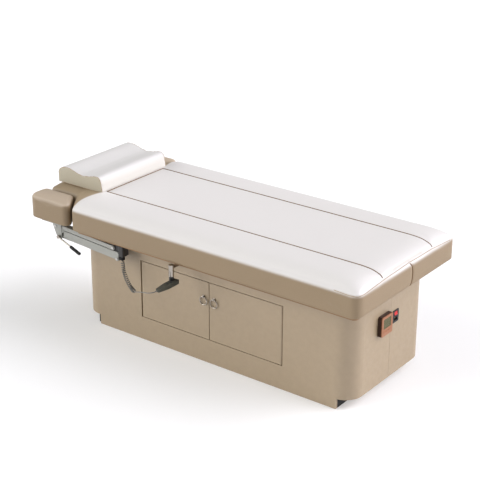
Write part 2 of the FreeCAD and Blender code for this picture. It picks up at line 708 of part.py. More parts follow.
def armrest_bracket():
    """Forked plate that carries the pad on the head ends of both links."""
    _, _, upper_head, lower_head = arm_pivots()
    top = PAD_BOTTOM - BRACKET_PLATE
    foot = lower_head[1] - 14
    edge = lower_head[0] + 13
    cheek = [(lower_head[0] - 12, foot, 10.0), (edge, foot, 10.0), (edge, top + BRACKET_OVERLAP, 2.0),
             (upper_head[0] - 22, top + BRACKET_OVERLAP, 2.0), (upper_head[0] - 12, upper_head[1] - 9, 9.0)]
    fork = side_plate(cheek, ARM_Y - BRACKET_HALF, ARM_Y + BRACKET_HALF)
    inside = BRACKET_HALF - BRACKET_WALL
    hollow = box(*BRACKET_PLATE_X, ARM_Y - inside, ARM_Y + inside, foot - PAST, top)
    plate_y = ARM_Y - BRACKET_PLATE_HALF_WIDTH, ARM_Y + BRACKET_PLATE_HALF_WIDTH
    plate = slab(rectangle(*BRACKET_PLATE_X, *plate_y, 8.0), top, PAD_BOTTOM)
    bracket = fork.cut(hollow).fuse(plate)
    export_pair("armrest_bracket", pierce(bracket, (upper_head, lower_head), ARM_PIN_RADIUS))


def arm_pin(x, z, half):
    """Pivot pin with a domed head on the outer side."""
    pin = cylinder((x, ARM_Y - half - PAST, z), (0, 1, 0), ARM_PIN_RADIUS, 2 * (half + PAST))
    head = cylinder((x, ARM_Y - half - PIN_HEAD, z), (0, 1, 0), PIN_HEAD_RADIUS, PIN_HEAD)
    return pin.fuse(head)


def armrest_pins():
    upper, lower, upper_head, lower_head = arm_pivots()
    bracket_pins = [arm_pin(x, z, BRACKET_HALF) for x, z in (upper_head, lower_head)]
    export("armrest_bracket_pins_left", *bracket_pins)
    export("armrest_bracket_pins_right", *[mirrored(pin) for pin in bracket_pins])
    mount_pins = [arm_pin(x, z, ARM_CHEEK_HALF) for x, z in (upper, lower)]
    export("armrest_mount_pins", *(mount_pins + [mirrored(pin) for pin in mount_pins]))


def armrest_mount():
    """Block under the deck, with a tongue that both links pivot on."""
    upper, lower, _, _ = arm_pivots()
    block = slab(rectangle(*MOUNT_X, *MOUNT_Y, 5.0), MOUNT_BOTTOM, DECK_BOTTOM)
    root = MOUNT_X[0] + 6
    reach = ARM_LUG_RADIUS
    tongue = side_plate([(upper[0] - reach, upper[1] - reach, 8.0), (lower[0] - reach, lower[1] - 9, 6.0),
                         (lower[0] + reach, lower[1] - 9, 8.0), (root, MOUNT_BOTTOM + 4, 0.0),
                         (root, DECK_BOTTOM - 8, 0.0), (upper[0] - reach, upper[1] + reach, 8.0)],
                        ARM_Y - ARM_TONGUE_HALF, ARM_Y + ARM_TONGUE_HALF)
    export_pair("armrest_mount", pierce(block.fuse(tongue), (upper, lower), ARM_PIN_RADIUS))


def clamp_lever():
    """Locking lever on the lower head pivot: hub, rod and rubber grip."""
    x, z = arm_pivots()[3]
    face = ARM_Y - BRACKET_HALF - LEVER_HUB_GAP
    hub = cylinder((x, face, z), (0, -1, 0), LEVER_HUB_RADIUS, face - LEVER_Y[0])
    reach = V(LEVER_END[0], 0, LEVER_END[1])
    direction = V(reach).normalize()
    rod_length = reach.Length * LEVER_ROD_SHARE
    start = V(x, (LEVER_Y[0] + LEVER_Y[1]) / 2, z)
    rod = cylinder(tuple(start), tuple(direction), LEVER_ROD_RADIUS, rod_length)
    grip_start = start + direction * (rod_length - LEVER_GRIP_LAP)
    grip = cylinder(tuple(grip_start), tuple(direction), LEVER_GRIP_RADIUS,
                    reach.Length - rod_length + LEVER_GRIP_LAP)
    grip = grip.makeFillet(LEVER_GRIP_ROUND, [e for e in grip.Edges if e.Curve.TypeId == "Part::GeomCircle"])
    socket = cylinder(tuple(grip_start - direction * PAST), tuple(direction), LEVER_ROD_RADIUS,
                      LEVER_GRIP_LAP + PAST)
    export_pair("clamp_lever", hub.fuse(rod))
    export_pair("clamp_grip", grip.cut(socket))


# ---------------------------------------------------------------- handset and cord
def handset_shell():
    """Body that narrows and flattens towards the end where the cord enters."""
    y0, y1 = HANDSET_Y
    z0, z1 = HANDSET_Z
    waist = y0 + HANDSET_TIP_LENGTH
    near = [(HANDSET_X - HANDSET_TIP_HALF_WIDTH, y0, 7.0), (HANDSET_X - HANDSET_HALF_WIDTH, waist, 40.0),
            (HANDSET_X - HANDSET_HALF_WIDTH, y1, 10.0)]
    far = [(2 * HANDSET_X - x, y, radius) for x, y, radius in reversed(near)]
    middle = (z0 + z1) / 2
    low = middle - HANDSET_TIP_HALF_HEIGHT
    high = middle + HANDSET_TIP_HALF_HEIGHT
    profile = face_plate([(y0, low, 2.0), (waist, z0, 0.0), (y1, z0, HANDSET_ROLL), (y1, z1, HANDSET_ROLL),
                          (waist, z1, 0.0), (y0, high, 2.0)],
                         HANDSET_X - HANDSET_HALF_WIDTH, HANDSET_X + HANDSET_HALF_WIDTH)
    return slab(near + far, z0, z1).common(profile)


def handset():
    body = handset_shell()
    floor = HANDSET_Z[1] - BUTTON_WELL
    key_base = floor + BUTTON_TRAVEL + BUTTON_SLACK
    for name, setback in BUTTON_SETBACKS:
        y = HANDSET_Y[0] + setback
        well = cylinder((HANDSET_X, y, floor), (0, 0, 1), BUTTON_RADIUS + BUTTON_SLACK, BUTTON_WELL + PAST)
        body = body.cut(well)
        key = cylinder((HANDSET_X, y, key_base), (0, 0, 1), BUTTON_RADIUS, HANDSET_Z[1] + 0.6 - key_base)
        export("handset_button_" + name, key)
    export("handset_body", body)


def handset_holder():
    """Steel strap under the deck, a chrome barrel and the dark clip that grips the handset."""
    z0, z1 = HOOK_Z
    barrel = cylinder((HOOK_X, HOOK_Y, z0), (0, 0, 1), HOOK_RADIUS, z1 - z0)
    strap = box(HOOK_X - STRAP_HALF_WIDTH, HOOK_X + STRAP_HALF_WIDTH, HOOK_Y, STRAP_INNER_Y,
                DECK_BOTTOM - STRAP, DECK_BOTTOM)
    export("handset_bracket", barrel.fuse(strap))
    neck = cylinder((HOOK_X, HOOK_Y, HANDSET_Z[1]), (0, 0, 1), CLIP_RADIUS, z0 - HANDSET_Z[1])
    export("handset_clip", neck)


def strain_relief():
    """Two grip rings on a sleeve below the near armrest mount."""
    z0, z1 = RELIEF_Z
    sleeve = cylinder((RELIEF_X, RELIEF_Y, z0), (0, 0, 1), RELIEF_RADIUS, z1 - z0)
    for rise in RELIEF_RING_RISES:
        ring = cylinder((RELIEF_X, RELIEF_Y, z0 + rise), (0, 0, 1), RELIEF_RING_RADIUS, RELIEF_RING)
        sleeve = sleeve.fuse(ring)
    export("strain_relief", sleeve)


def soft_path(points, name):
    """Straight runs joined by tangent arcs, as large as the runs on either side allow."""
    places = [V(*p) for p in points]
    cursor = places[0]
    edges = []
    radii = []
    for i in range(1, len(places) - 1):
        here = places[i]
        back = places[i - 1] - here
        ahead = places[i + 1] - here
        half_turn = (math.pi - back.getAngle(ahead)) / 2
        reach = 0.45 * min(back.Length, ahead.Length)
        radius = reach / math.tan(half_turn)
        back.normalize()
        ahead.normalize()
        start = here + back * reach
        end = here + ahead * reach
        bisector = (back + ahead).normalize()
        middle = here + bisector * (radius / math.cos(half_turn) - radius)
        edges.append(Part.LineSegment(cursor, start).toShape())
        edges.append(Part.Arc(start, middle, end).toShape())
        radii.append(round(radius, 1))
        cursor = end
    edges.append(Part.LineSegment(cursor, places[-1]).toShape())
    print(name, "radii", radii)
    return Part.Wire(edges)


def cord_tube(name, points, diameter):
    path = soft_path(points, name)
    direction = V(*points[1]) - V(*points[0])
    ring = Part.Wire(Part.makeCircle(diameter / 2, V(*points[0]), direction))
    tube = path.makePipeShell([ring], True, True)
    section = math.pi * diameter ** 2 / 4
    ratio = tube.Volume / (section * path.Length)
    print(name, "length", round(path.Length, 1), "volume ratio", round(ratio, 4))
    export(name, tube)


def main():
    os.makedirs("parts", exist_ok=True)
    levelling_feet()
    plinth()
    cabinet_shells()
    cabinet_panels()
    doors()
    ring_pulls()
    thermostat()
    mains_inlet()
    rocker_switch()
    lifting_columns()
    control_box()
    top_frame()
    deck_board()
    mattress()
    pillow()
    armrest_pad()
    armrest_links()
    armrest_bracket()
    armrest_pins()
    armrest_mount()
    clamp_lever()
    handset()
    handset_holder()
    strain_relief()
    cord_tube("cord_coil", COIL_ROUTE, COIL_DIAMETER)
    cord_tube("cord_tail", TAIL_ROUTE, CORD_DIAMETER)


main()
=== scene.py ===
import json
import math

import bmesh
import bpy
import numpy as np
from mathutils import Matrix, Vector
from mathutils.bvhtree import BVHTree
from mathutils.kdtree import KDTree


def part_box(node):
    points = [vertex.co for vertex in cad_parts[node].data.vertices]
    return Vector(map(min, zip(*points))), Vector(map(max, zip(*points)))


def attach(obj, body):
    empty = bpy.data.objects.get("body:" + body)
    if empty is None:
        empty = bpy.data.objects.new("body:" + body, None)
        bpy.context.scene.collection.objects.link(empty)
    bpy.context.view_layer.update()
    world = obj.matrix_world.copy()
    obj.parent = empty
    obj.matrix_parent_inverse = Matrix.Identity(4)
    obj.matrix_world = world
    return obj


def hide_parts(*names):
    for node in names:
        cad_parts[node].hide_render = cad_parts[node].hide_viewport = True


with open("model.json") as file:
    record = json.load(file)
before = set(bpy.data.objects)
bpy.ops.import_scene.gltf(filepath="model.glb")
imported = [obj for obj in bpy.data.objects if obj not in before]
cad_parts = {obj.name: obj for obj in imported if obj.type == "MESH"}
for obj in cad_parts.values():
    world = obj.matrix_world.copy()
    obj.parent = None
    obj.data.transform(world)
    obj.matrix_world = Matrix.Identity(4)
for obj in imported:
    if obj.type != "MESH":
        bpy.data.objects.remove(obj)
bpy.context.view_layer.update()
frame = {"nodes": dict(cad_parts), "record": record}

MM = 0.001

# ---------------------------------------------------------------- view
CAMERA_PLACE = (3.24245, -4.36151, 2.78778)
CAMERA_TARGET = (-0.0806, -0.0017, 0.5184)
CAMERA_LENS = 97.33
CAMERA_SENSOR = 36.0
CAMERA_SHIFT = (0.01156, -0.01445)
CAMERA_REACH = 60.0


def camera():
    data = bpy.data.cameras.new("camera")
    data.lens = CAMERA_LENS
    data.sensor_width = CAMERA_SENSOR
    data.shift_x, data.shift_y = CAMERA_SHIFT
    data.clip_end = CAMERA_REACH
    view = bpy.data.objects.new("camera", data)
    bpy.context.collection.objects.link(view)
    view.location = CAMERA_PLACE
    sight = Vector(CAMERA_TARGET) - Vector(CAMERA_PLACE)
    view.rotation_euler = sight.to_track_quat("-Z", "Y").to_euler()
    bpy.context.scene.camera = view


camera()


# ---------------------------------------------------------------- handset cord
# The route is the one that the cord's solids follow, in mm: curly from the strain relief, then plain
# to the handset.
COIL_ROUTE = [
    (-446.0, -364.0, 414.0), (-446.0, -364.0, 381.0), (-427.5, -371.5, 345.5),
    (-397.0, -383.0, 317.0), (-359.0, -394.5, 294.0), (-334.0, -412.0, 305.0),
]
TAIL_ROUTE = [
    (-334.0, -412.0, 305.0), (-299.0, -436.5, 320.4), (-262.0, -463.5, 341.0), (-214.0, -500.0, 368.0),
    (-163.0, -532.0, 391.0), (-137.0, -546.0, 402.5), (-121.0, -549.5, 408.5), (-110.0, -544.5, 411.5),
    (-105.0, -534.0, 412.5), (-105.0, -522.0, 412.5),
]
CORD_DIAMETER = 4.6 * MM
COIL_RADIUS = 8.0 * MM
COIL_PITCH = 10.0 * MM
COIL_EASE = 14.0 * MM
TURN_POINTS = 14
CORD_RESOLUTION = 3
CORD_ROUNDNESS = 4
GUIDE_RESOLUTION = 24


def metres(points):
    return [Vector(p) * MM for p in points]


def spline_object(name, points, resolution, radius=0.0):
    """Open NURBS line of order 3 through to its end points.

    The points carry the radius and the bevel is 1 deep, because a curve's bounds grow by that radius.
    """
    curve = bpy.data.curves.new(name, "CURVE")
    curve.dimensions = "3D"
    curve.resolution_u = resolution
    curve.bevel_depth = 1.0 if radius > 0 else 0.0
    curve.bevel_resolution = CORD_ROUNDNESS
    curve.use_fill_caps = radius > 0
    line = curve.splines.new("NURBS")
    line.points.add(len(points) - 1)
    for knot, point in zip(line.points, points):
        knot.co = (*point, 1.0)
        knot.radius = radius
    line.order_u = 3
    line.use_endpoint_u = True
    line.resolution_u = resolution
    piece = bpy.data.objects.new(name, curve)
    bpy.context.collection.objects.link(piece)
    return piece


def line_points(route):
    """Points along a route's own smooth line."""
    guide = spline_object("guide", route, GUIDE_RESOLUTION)
    mesh = bpy.data.meshes.new_from_object(guide)
    points = [v.co.copy() for v in mesh.vertices]
    curve = guide.data
    bpy.data.objects.remove(guide)
    bpy.data.curves.remove(curve)
    bpy.data.meshes.remove(mesh)
    return points


def travelled(points):
    reach = [0.0]
    for a, b in zip(points, points[1:]):
        reach.append(reach[-1] + (b - a).length)
    return reach


def helix(points):
    """Turns of the curly cord about a smooth line, easing out of it and back into it."""
    reach = travelled(points)
    total = reach[-1]
    count = int(total / COIL_PITCH * TURN_POINTS)
    side = (points[1] - points[0]).orthogonal().normalized()
    turns = []
    segment = 0
    angle = 0.0
    for i in range(1, count):
        s = total * i / count
        while reach[segment + 1] < s:
            segment += 1
        a, b = points[segment], points[segment + 1]
        along = (b - a).normalized()
        centre = a.lerp(b, (s - reach[segment]) / (reach[segment + 1] - reach[segment]))
        side = (side - along * side.dot(along)).normalized()
        across = along.cross(side)
        ease = min(1.0, s / COIL_EASE, (total - s) / COIL_EASE)
        angle += 2 * math.pi / TURN_POINTS * ease
        radius = COIL_RADIUS * ease
        turns.append(centre + (side * math.cos(angle) + across * math.sin(angle)) * radius)
    return turns


def handset_cord():
    coil = metres(COIL_ROUTE)
    tail = metres(TAIL_ROUTE)
    route = [coil[0]] + helix(line_points(coil)) + tail
    piece = spline_object("handset_cord", route, CORD_RESOLUTION, CORD_DIAMETER / 2)
    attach(piece, "top")
    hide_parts("cord_coil", "cord_tail")
    return piece


CORD = handset_cord()


# ---------------------------------------------------------------- bed outline
# Metres, in the row frame.
MATTRESS_LOW, MATTRESS_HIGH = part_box("mattress")
FOOT_X = MATTRESS_HIGH[0]
HEAD_X = MATTRESS_LOW[0]
HALF_WIDTH = MATTRESS_HIGH[1]
SHOULDER_X = -0.721
NOTCH_X = -0.817
HEAD_HALF = 0.268
EDGE_TOP = 0.611
ROLL = 0.024
FOOT_RISE = 0.014
CROWN_RISE = 0.035
CROWN_REACH = 0.170
CROWN_POWER = 3.5
ROLL_DRAW = 0.55
ROLL_REACH = 2.5
LONG_SEAM_Y = 0.2024
CROSS_SEAM_X = -0.677
# where the painted shade over the head part of the top starts and reaches full strength
HEAD_SHADE_START = CROSS_SEAM_X - 0.002
HEAD_SHADE_FULL = CROSS_SEAM_X - 0.016


# ---------------------------------------------------------------- materials
def colour(red, green, blue):
    """Linear colour of an 8-bit display colour."""
    return tuple(((c / 255 + 0.055) / 1.055) ** 2.4 for c in (red, green, blue)) + (1.0,)


def shade(tone, factor):
    return tuple(c * factor for c in tone[:3]) + (1.0,)


# sockets of a colour mix node
MIX_FIRST, MIX_SECOND, MIX_RESULT = 6, 7, 2
# the part of its range that a noise mostly fills
NOISE_LOW, NOISE_HIGH = 0.3, 0.7


class Nodes:
    """Small helper that builds one material's node tree."""

    def __init__(self, name):
        self.material = bpy.data.materials.new(name)
        self.material.use_nodes = True
        self.tree = self.material.node_tree
        self.shader = self.tree.nodes["Principled BSDF"]
        self.place = self.add("ShaderNodeTexCoord").outputs["Object"]

    def add(self, kind, **settings):
        node = self.tree.nodes.new(kind)
        for key, value in settings.items():
            setattr(node, key, value)
        return node

    def link(self, output, socket):
        self.tree.links.new(output, socket)

    def noise(self, scale, detail=3.0, rough=0.55, stretch=None):
        node = self.add("ShaderNodeTexNoise")
        node.inputs["Scale"].default_value = scale
        node.inputs["Detail"].default_value = detail
        node.inputs["Roughness"].default_value = rough
        self.link(self.stretched(stretch), node.inputs["Vector"])
        return node.outputs["Fac"]

    def stretched(self, stretch):
        if stretch is None:
            return self.place
        mapping = self.add("ShaderNodeMapping")
        mapping.inputs["Scale"].default_value = stretch
        self.link(self.place, mapping.inputs["Vector"])
        return mapping.outputs["Vector"]

    def cells(self, scale, feature="SMOOTH_F1"):
        node = self.add("ShaderNodeTexVoronoi", feature=feature)
        node.inputs["Scale"].default_value = scale
        self.link(self.place, node.inputs["Vector"])
        return node.outputs["Distance"]

    def span(self, value, low, high, out_low, out_high):
        node = self.add("ShaderNodeMapRange", interpolation_type="SMOOTHSTEP")
        limits = {"From Min": low, "From Max": high, "To Min": out_low, "To Max": out_high}
        for key, number in limits.items():
            node.inputs[key].default_value = number
        self.link(value, node.inputs["Value"])
        return node.outputs["Result"]

    def band(self, noise, low, high):
        """Spreads a noise between two values."""
        return self.span(noise, NOISE_LOW, NOISE_HIGH, low, high)

    def mix(self, factor, first, second):
        node = self.add("ShaderNodeMix", data_type="RGBA")
        self.link(factor, node.inputs["Factor"])
        for index, tone in ((MIX_FIRST, first), (MIX_SECOND, second)):
            if isinstance(tone, tuple):
                node.inputs[index].default_value = tone
            else:
                self.link(tone, node.inputs[index])
        return node.outputs[MIX_RESULT]

    def add_up(self, first, second, weight):
        node = self.add("ShaderNodeMath", operation="MULTIPLY_ADD")
        self.link(second, node.inputs[0])
        node.inputs[1].default_value = weight
        self.link(first, node.inputs[2])
        return node.outputs["Value"]

    def bump(self, height, distance, strength=1.0):
        node = self.add("ShaderNodeBump")
        node.inputs["Distance"].default_value = distance
        node.inputs["Strength"].default_value = strength
        self.link(height, node.inputs["Height"])
        self.link(node.outputs["Normal"], self.shader.inputs["Normal"])

    def facing(self, axis):
        """One part of the surface normal, from -1 to 1."""
        geometry = self.add("ShaderNodeNewGeometry")
        split = self.add("ShaderNodeSeparateXYZ")
        self.link(geometry.outputs["Normal"], split.inputs["Vector"])
        return split.outputs[axis]

    def head_shade_share(self):
        """1 over the head part of the top, which takes painted shade, past the cross seam and the
        lines from its ends to the shoulders.
        """
        split = self.add("ShaderNodeSeparateXYZ")
        self.link(self.place, split.inputs["Vector"])
        spread = self.add("ShaderNodeMath", operation="ABSOLUTE")
        self.link(split.outputs["Y"], spread.inputs[0])
        reach = CROSS_SEAM_X - SHOULDER_X
        slant = self.span(spread.outputs["Value"], LONG_SEAM_Y, HALF_WIDTH, 0.0, reach)
        place = self.add_up(split.outputs["X"], slant, 1.0)
        return self.span(place, HEAD_SHADE_FULL, HEAD_SHADE_START, 1.0, 0.0)

    def finish(self, tone, roughness, metallic=0.0, sheen=0.0, specular=0.5):
        self.link(tone, self.shader.inputs["Base Color"])
        self.link(roughness, self.shader.inputs["Roughness"])
        self.shader.inputs["Metallic"].default_value = metallic
        self.shader.inputs["Sheen Weight"].default_value = sheen
        self.shader.inputs["Specular IOR Level"].default_value = specular
        return self.material


def leatherette(name, side, top, head=None, ends=None):
    """Soft grained vinyl with painted light and shade: level faces take the lighter top tone, steep
    faces the darker side tone, and the head part and the end faces may take a painted shade.
    """
    nodes = Nodes(name)
    pebbles = nodes.add_up(nodes.cells(850.0), nodes.noise(2200.0, 2.0), 0.35)
    folds = nodes.noise(9.0, 4.0)
    nodes.bump(nodes.add_up(pebbles, folds, 1.2), 0.00035, 0.5)
    cloud = nodes.noise(3.5, 4.0)
    # painted light and shade: wall is the shaded side tone, the next line the lit top tone
    wall = nodes.mix(cloud, shade(side, 0.96), shade(side, 1.04))
    lit_top_tone = nodes.mix(cloud, shade(top, 0.985), shade(top, 1.015))
    # painted shade over the head part of the top
    if head is not None:
        lit_top_tone = nodes.mix(nodes.head_shade_share(), lit_top_tone, head)
    # painted shade on steeper faces and painted light on level faces, by how the face points
    tone = nodes.mix(nodes.span(nodes.facing("Z"), 0.05, 0.75, 0.0, 1.0), wall, lit_top_tone)
    # painted shade on the faces that point along Y, the pillow's end faces
    if ends is not None:
        tone = nodes.mix(nodes.span(nodes.facing("Y"), -0.95, -0.75, 1.0, 0.0), tone, ends)
        tone = nodes.mix(nodes.span(nodes.facing("Y"), 0.75, 0.95, 0.0, 1.0), tone, ends)
    return nodes.finish(tone, nodes.band(nodes.noise(260.0), 0.50, 0.60))


def laminate(name, tone):
    """Satin board finish with a faint mottle."""
    nodes = Nodes(name)
    mottle = nodes.add_up(nodes.noise(38.0, 5.0), nodes.noise(420.0, 2.0), 0.4)
    blend = nodes.mix(nodes.span(mottle, 0.4, 1.0, 0.0, 1.0), shade(tone, 0.96), shade(tone, 1.04))
    nodes.bump(nodes.noise(700.0, 2.0), 0.00008, 0.5)
    return nodes.finish(blend, nodes.band(nodes.noise(60.0), 0.40, 0.50), specular=1.0)


def timber(name, tone, stretch):
    """Open grain that runs along the stretched axis."""
    nodes = Nodes(name)
    grain = nodes.noise(16.0, 6.0, 0.6, stretch)
    blend = nodes.mix(nodes.band(grain, 0.0, 1.0), shade(tone, 0.72), shade(tone, 1.1))
    nodes.bump(grain, 0.0003, 0.4)
    return nodes.finish(blend, nodes.band(grain, 0.5, 0.65))


def paint(name, tone, rough=0.42, metallic=0.0):
    """Powder coat with orange peel."""
    nodes = Nodes(name)
    peel = nodes.noise(520.0, 2.0)
    blend = nodes.mix(nodes.noise(40.0, 4.0), shade(tone, 0.94), shade(tone, 1.06))
    nodes.bump(peel, 0.00012, 0.5)
    return nodes.finish(blend, nodes.band(peel, rough - 0.05, rough + 0.06), metallic)


def metal(name, tone, rough):
    """Bare metal with fine wear."""
    nodes = Nodes(name)
    brush = nodes.noise(240.0, 3.0, 0.6)
    blend = nodes.mix(brush, shade(tone, 0.93), shade(tone, 1.03))
    nodes.bump(brush, 0.00004, 0.3)
    return nodes.finish(blend, nodes.band(brush, rough * 0.8, rough * 1.3), metallic=1.0)


def plastic(name, tone, rough, grain=1200.0):
    """Moulded plastic with a spark-eroded grain."""
    nodes = Nodes(name)
    spark = nodes.cells(grain, "F1")
    blend = nodes.mix(nodes.noise(90.0, 3.0), shade(tone, 0.9), shade(tone, 1.1))
    nodes.bump(spark, 0.00006, 0.5)
    gloss = nodes.band(nodes.noise(300.0), rough - 0.06, rough + 0.06)
    return nodes.finish(blend, gloss, specular=0.25)


def cloth(name, tone):
    """Plain weave from two crossed waves."""
    nodes = Nodes(name)
    waves = []
    for direction in ("X", "Y"):
        wave = nodes.add("ShaderNodeTexWave", bands_direction=direction)
        wave.inputs["Scale"].default_value = 220.0
        wave.inputs["Distortion"].default_value = 0.6
        nodes.link(nodes.place, wave.inputs["Vector"])
        waves.append(wave.outputs["Fac"])
    weave = nodes.add_up(waves[0], waves[1], 1.0)
    blend = nodes.mix(nodes.span(weave, 0.4, 1.6, 0.0, 1.0), shade(tone, 0.75), shade(tone, 1.1))
    nodes.bump(weave, 0.0002, 0.6)
    return nodes.finish(blend, nodes.span(weave, 0.4, 1.6, 0.75, 0.9), sheen=0.2)


# Cover tones by facing: top tones are painted light, side, head and end tones painted shade; on the
# mattress the cream top and beige sides are partly also the cover's own two colours.
SHADED_SIDE_BEIGE = colour(134, 115, 89)
LIT_TOP_CREAM = colour(215, 212, 209)
# painted shade over the head part of the top
HEAD_PAINTED_SHADE = colour(158, 140, 114)
# armrest pads: one beige leather, the top a painted light copy and the sides a painted shade copy
PAD_SHADED_SIDE_BEIGE = colour(133, 114, 88)
PAD_LIT_TOP_BEIGE = colour(178, 162, 142)
# pillow: the end faces carry painted shade, the sides a slight painted shade of the top
PILLOW_SHADED_SIDE = colour(202, 198, 190)
PILLOW_LIT_TOP = colour(204, 202, 199)
PILLOW_END_SHADE = colour(172, 164, 144)
MATERIALS = {
    "upholstery": leatherette("upholstery", SHADED_SIDE_BEIGE, LIT_TOP_CREAM, head=HEAD_PAINTED_SHADE),
    "armrest_cover": leatherette("armrest_cover", PAD_SHADED_SIDE_BEIGE, PAD_LIT_TOP_BEIGE),
    "pillow_cover": leatherette("pillow_cover", PILLOW_SHADED_SIDE, PILLOW_LIT_TOP, ends=PILLOW_END_SHADE),
    "seam_thread": plastic("seam_thread", colour(118, 92, 66), 0.6),
    "seam_pale": plastic("seam_pale", colour(160, 138, 112), 0.6),
    "laminate": laminate("laminate", colour(147, 128, 101)),
    "carcass": timber("carcass", colour(190, 166, 130), (0.12, 1.0, 1.0)),
    "plywood": timber("plywood", colour(140, 110, 78), (0.08, 1.0, 1.0)),
    "plinth_black": plastic("plinth_black", colour(26, 25, 24), 0.6),
    "rubber": plastic("rubber", colour(30, 30, 30), 0.55, 700.0),
    "cord_grey": plastic("cord_grey", colour(112, 110, 105), 0.4),
    "pins": metal("pins", colour(190, 188, 184), 0.28),
    "chrome": metal("chrome", colour(168, 161, 152), 0.12),
    "thermostat_brown": plastic("thermostat_brown", colour(62, 42, 32), 0.5),
    "thermostat_copper": paint("thermostat_copper", colour(150, 98, 66), 0.4, 0.2),
    "lcd": plastic("lcd", colour(78, 74, 42), 0.3, 2000.0),
    "inlet_black": plastic("inlet_black", colour(28, 28, 28), 0.45),
    "pin_brass": metal("pin_brass", colour(205, 176, 110), 0.2),
    "rocker_red": plastic("rocker_red", colour(186, 22, 20), 0.35, 2000.0),
    "column_aluminium": paint("column_aluminium", colour(178, 180, 182), 0.38, 0.25),
    "control_grey": plastic("control_grey", colour(110, 110, 112), 0.5),
    "frame_steel": paint("frame_steel", colour(44, 44, 44)),
    "heating_fabric": cloth("heating_fabric", colour(150, 142, 134)),
    "arm_grey": paint("arm_grey", colour(148, 148, 142), 0.4),
    "black_steel": paint("black_steel", colour(38, 36, 35), 0.4),
    "handset_grey": plastic("handset_grey", colour(78, 78, 70), 0.42),
    "handset_keys": plastic("handset_keys", colour(48, 48, 50), 0.5),
}


def finish_with(piece, name):
    piece.data.materials.clear()
    piece.data.materials.append(MATERIALS[name])


def finish_cad_nodes():
    """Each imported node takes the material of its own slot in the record."""
    for row in frame["record"]["subparts"]:
        node = frame["nodes"][row["node"]]
        for index in range(max(1, len(node.material_slots))):
            if len(node.material_slots) <= index:
                node.data.materials.append(None)
            node.material_slots[index].material = MATERIALS[row["material_slot"]]


finish_cad_nodes()
finish_with(CORD, "cord_grey")

# ---------------------------------------------------------------- soft goods
SHARP_ANGLE = math.radians(38)
HOLD_REACH = 4.0 * MM
MERGE_REACH = 1e-5
EDGE_STEP = 3 * MM
SEAM_STEP = 4 * MM
SEAM_ROUNDNESS = 3
CLOTH_FRAMES = 20
CLOTH_QUALITY = 4
CLOTH_MASS = 0.3
CLOTH_STRETCH = 25
CLOTH_BEND = 2.0
CLOTH_PRESSURE = 4.0
SWELL_SHARE = 0.6


def apply_modifiers(piece):
    graph = bpy.context.evaluated_depsgraph_get()
    mesh = bpy.data.meshes.new_from_object(piece.evaluated_get(graph))
    piece.modifiers.clear()
    old = piece.data
    piece.data = mesh
    bpy.data.meshes.remove(old)


def coordinates(mesh):
    flat = np.empty(len(mesh.vertices) * 3)
    mesh.vertices.foreach_get("co", flat)
    return flat.reshape(-1, 3)


def set_coordinates(mesh, points):
    mesh.vertices.foreach_set("co", points.reshape(-1))
    mesh.update()


def normals_of(mesh):
    flat = np.empty(len(mesh.vertices) * 3)
    mesh.vertices.foreach_get("normal", flat)
    return flat.reshape(-1, 3)


def tree_of(points):
    tree = KDTree(len(points))
    for i, point in enumerate(points):
        tree.insert(point, i)
    tree.balance()
    return tree


def sharp_edge_points(node):
    """Points every few millimetres along the sewn edges of a soft solid."""
    shape = bmesh.new()
    shape.from_mesh(frame["nodes"][node].data)
    bmesh.ops.remove_doubles(shape, verts=shape.verts, dist=MERGE_REACH)
    points = []
    for edge in shape.edges:
        if len(edge.link_faces) == 2 and edge.calc_face_angle(0.0) > SHARP_ANGLE:
            a, b = (v.co for v in edge.verts)
            steps = max(1, int((b - a).length / EDGE_STEP))
            points += [a.lerp(b, i / steps) for i in range(steps + 1)]
    shape.free()
    return points


def soft_copy(name, node, voxel):
    """New piece with the node's shape on an even mesh."""
    mesh = frame["nodes"][node].data.copy()
    mesh.name = name
    piece = bpy.data.objects.new(name, mesh)
    bpy.context.collection.objects.link(piece)
    remesh = piece.modifiers.new("remesh", "REMESH")
    remesh.mode = "VOXEL"
    remesh.voxel_size = voxel
    remesh.use_smooth_shade = True
    apply_modifiers(piece)
    return piece


def puff(piece, held, cap):
    """Swells the cover with cloth under pressure, held along its sewn edges, softly up to the cap."""
    start = coordinates(piece.data)
    tree = tree_of(held)
    group = piece.vertex_groups.new(name="hold")
    group.add([i for i, p in enumerate(start) if tree.find(p)[2] < HOLD_REACH], 1.0, "REPLACE")
    modifier = piece.modifiers.new("cloth", "CLOTH")
    settings = modifier.settings
    settings.quality = CLOTH_QUALITY
    settings.mass = CLOTH_MASS
    settings.tension_stiffness = CLOTH_STRETCH
    settings.compression_stiffness = CLOTH_STRETCH
    settings.bending_stiffness = CLOTH_BEND
    settings.use_pressure = True
    settings.uniform_pressure_force = CLOTH_PRESSURE
    settings.vertex_group_mass = "hold"
    settings.effector_weights.gravity = 0.0
    modifier.collision_settings.use_collision = False
    modifier.point_cache.frame_start = 1
    modifier.point_cache.frame_end = CLOTH_FRAMES
    scene = bpy.context.scene
    for step in range(1, CLOTH_FRAMES + 1):
        scene.frame_set(step)
    graph = bpy.context.evaluated_depsgraph_get()
    swollen = coordinates(piece.evaluated_get(graph).to_mesh())
    move = swollen - start
    length = np.linalg.norm(move, axis=1, keepdims=True)
    move *= SWELL_SHARE * cap / (length + cap)
    piece.modifiers.clear()
    piece.vertex_groups.clear()
    set_coordinates(piece.data, start + move)
    scene.frame_set(1)


def refine(piece):
    """One round of subdivision, shaded smooth."""
    subdivision = piece.modifiers.new("subdivision", "SUBSURF")
    subdivision.levels = 1
    subdivision.render_levels = 1
    apply_modifiers(piece)
    piece.data.polygons.foreach_set("use_smooth", [True] * len(piece.data.polygons))


def surface_of(piece):
    mesh = piece.data
    return BVHTree.FromPolygons([v.co for v in mesh.vertices], [p.vertices for p in mesh.polygons])


